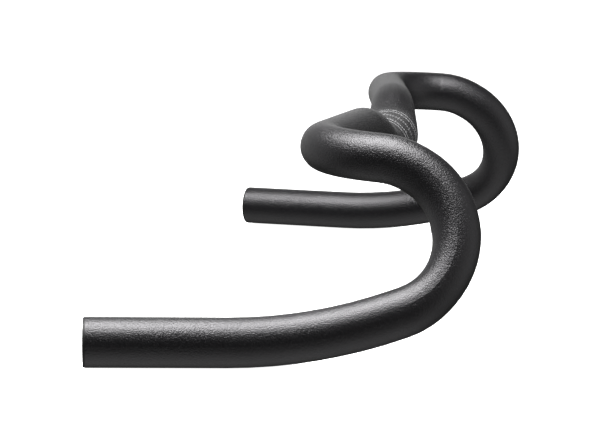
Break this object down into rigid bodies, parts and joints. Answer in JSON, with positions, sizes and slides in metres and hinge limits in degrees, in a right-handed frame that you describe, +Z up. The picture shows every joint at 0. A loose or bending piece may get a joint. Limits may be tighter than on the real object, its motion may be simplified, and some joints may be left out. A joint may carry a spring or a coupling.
{
  "type": "drop handlebar",
  "caption": "Bare drop handlebar: bulged clamp zone, rising back-swept tops, compact hooks and wide-flared drops, each open end closed by an expander plug.",
  "frame": {"origin": "centre of the stem clamp zone, on the tube's axis", "axes": "+X forward, +Y to the rider's left along the clamp zone's axis, +Z up with the drops' straight ends level"},
  "size_m": [0.1838, 0.5582, 0.1084],
  "materials": {
    "bar_finish": "matte black, bead-blasted, fine grain",
    "cap_nylon": "moulded black nylon, satin",
    "screw_steel": "black-oxide steel",
    "washer_steel": "zinc-plated",
    "sleeve_nylon": "moulded grey nylon",
    "nut_brass": "turned"
  },
  "bodies": {
    "bar": {"bar_tube": "bar_finish"},
    "left_plug": {"left_end_cap": "cap_nylon", "left_screw_washer": "washer_steel", "left_expander_sleeve": "sleeve_nylon"},
    "left_screw": {"left_expander_screw": "screw_steel"},
    "left_nut": {"left_cone_nut": "nut_brass"},
    "right_plug": {"right_end_cap": "cap_nylon", "right_screw_washer": "washer_steel", "right_expander_sleeve": "sleeve_nylon"},
    "right_screw": {"right_expander_screw": "screw_steel"},
    "right_nut": {"right_cone_nut": "nut_brass"}
  },
  "joints": [
    {"name": "left_plug_pull", "type": "slide", "parent": "bar", "child": "left_plug", "axis": [-0.9833, 0.1815, 0.0139], "range_m": [0, 0.045]},
    {"name": "left_screw_turn", "type": "hinge", "parent": "left_plug", "child": "left_screw", "pos_m": [-0.11432, 0.26738, -0.06852], "axis": [-0.9833, 0.1815, 0.0139], "range_deg": [0, 1080.1]},
    {"name": "left_nut_travel", "type": "slide", "parent": "left_plug", "child": "left_nut", "axis": [0.9833, -0.1815, -0.0139], "range_m": [0, 0.0021]},
    {"name": "right_plug_pull", "type": "slide", "parent": "bar", "child": "right_plug", "axis": [-0.9833, -0.1815, 0.0139], "range_m": [0, 0.045]},
    {"name": "right_screw_turn", "type": "hinge", "parent": "right_plug", "child": "right_screw", "pos_m": [-0.11432, -0.26738, -0.06852], "axis": [-0.9833, -0.1815, 0.0139], "range_deg": [0, 1080.1]},
    {"name": "right_nut_travel", "type": "slide", "parent": "right_plug", "child": "right_nut", "axis": [0.9833, 0.1815, -0.0139], "range_m": [0, 0.0021]}
  ],
  "couplings": [
    {"joint": "left_screw_turn", "follows": "left_nut_travel", "rad_per_m": 8976},
    {"joint": "right_screw_turn", "follows": "right_nut_travel", "rad_per_m": 8976}
  ]
}
